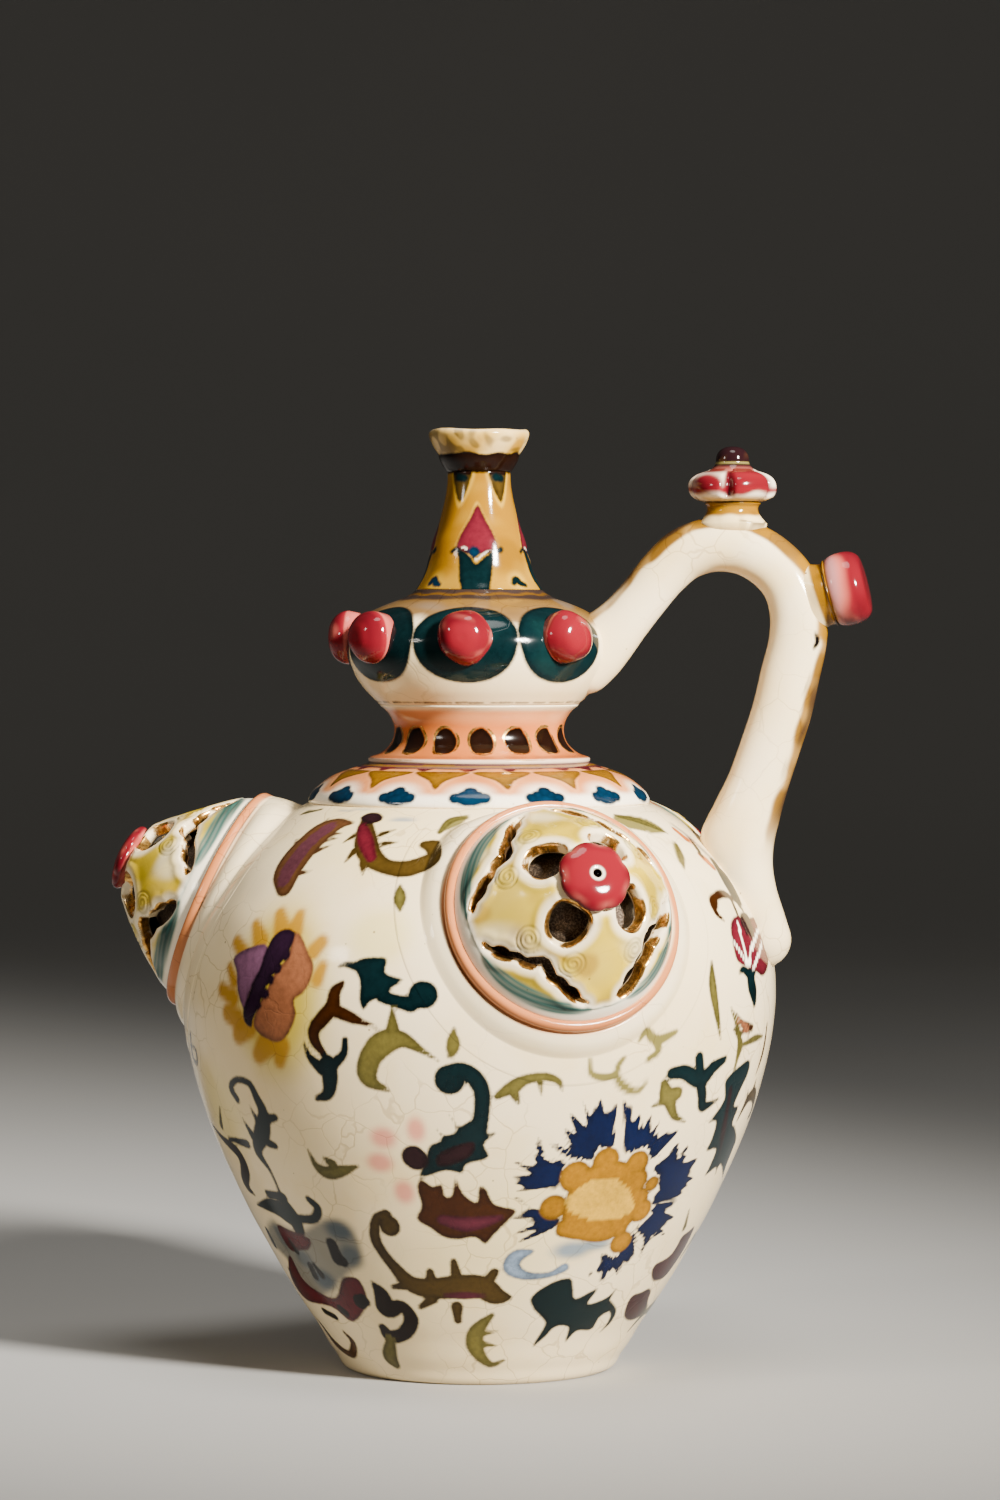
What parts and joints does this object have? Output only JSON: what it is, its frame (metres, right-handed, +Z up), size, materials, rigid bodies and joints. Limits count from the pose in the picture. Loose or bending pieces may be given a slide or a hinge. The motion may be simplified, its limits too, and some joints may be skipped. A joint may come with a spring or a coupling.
{
  "type": "puzzle jug",
  "caption": "Glazed puzzle jug: closed swelling body with pierced bosses, waisted collar, beaded bulb, slim neck with small mouth, and hollow looped handle with knobs.",
  "frame": {"origin": "middle of the foot, on the surface that it stands on", "axes": "+Z up through the mouth, +X towards the handle, the front boss lies between +X and -Y"},
  "size_m": [0.1721, 0.1528, 0.21],
  "materials": {
    "ivory_glaze": "ivory glaze, glossy, with fine crazing and painted flowers",
    "cream_glaze": "cream glaze shaded with yellow, glossy",
    "painted_ring": "painted arches in salmon, blue and ochre under glossy glaze",
    "salmon_glaze": "salmon pink glaze with dark drops, glossy",
    "ochre_glaze": "ochre yellow glaze, glossy",
    "pink_glaze": "raspberry pink glaze, glossy",
    "plum_glaze": "dark plum brown glaze, glossy",
    "bronze_lustre": "brown bronze lustre, half gloss",
    "bare_clay": "unglazed fired clay"
  },
  "bodies": {
    "root": {"body": "ivory_glaze", "shoulder_ring": "painted_ring", "collar": "salmon_glaze", "throat_plate": "bare_clay", "bulb": "ivory_glaze", "neck": "ochre_glaze", "mouthpiece": "cream_glaze", "bead_1": "pink_glaze", "bead_2": "pink_glaze", "bead_3": "pink_glaze", "bead_4": "pink_glaze", "bead_5": "pink_glaze", "bead_6": "pink_glaze", "bead_7": "pink_glaze", "front_flange": "ivory_glaze", "front_back": "bronze_lustre", "front_dome": "cream_glaze", "front_vent": "bare_clay", "front_knob": "pink_glaze", "left_flange": "ivory_glaze", "left_back": "bronze_lustre", "left_dome": "cream_glaze", "left_vent": "bare_clay", "left_knob": "pink_glaze", "rear_flange": "ivory_glaze", "rear_back": "bronze_lustre", "rear_dome": "cream_glaze", "rear_vent": "bare_clay", "rear_knob": "pink_glaze", "handle": "ivory_glaze", "finial_stem": "ochre_glaze", "finial_flower": "pink_glaze", "finial_bead": "plum_glaze", "knob_stem": "ochre_glaze", "knob_button": "pink_glaze", "dip_tube": "bare_clay"}
  },
  "joints": []
}
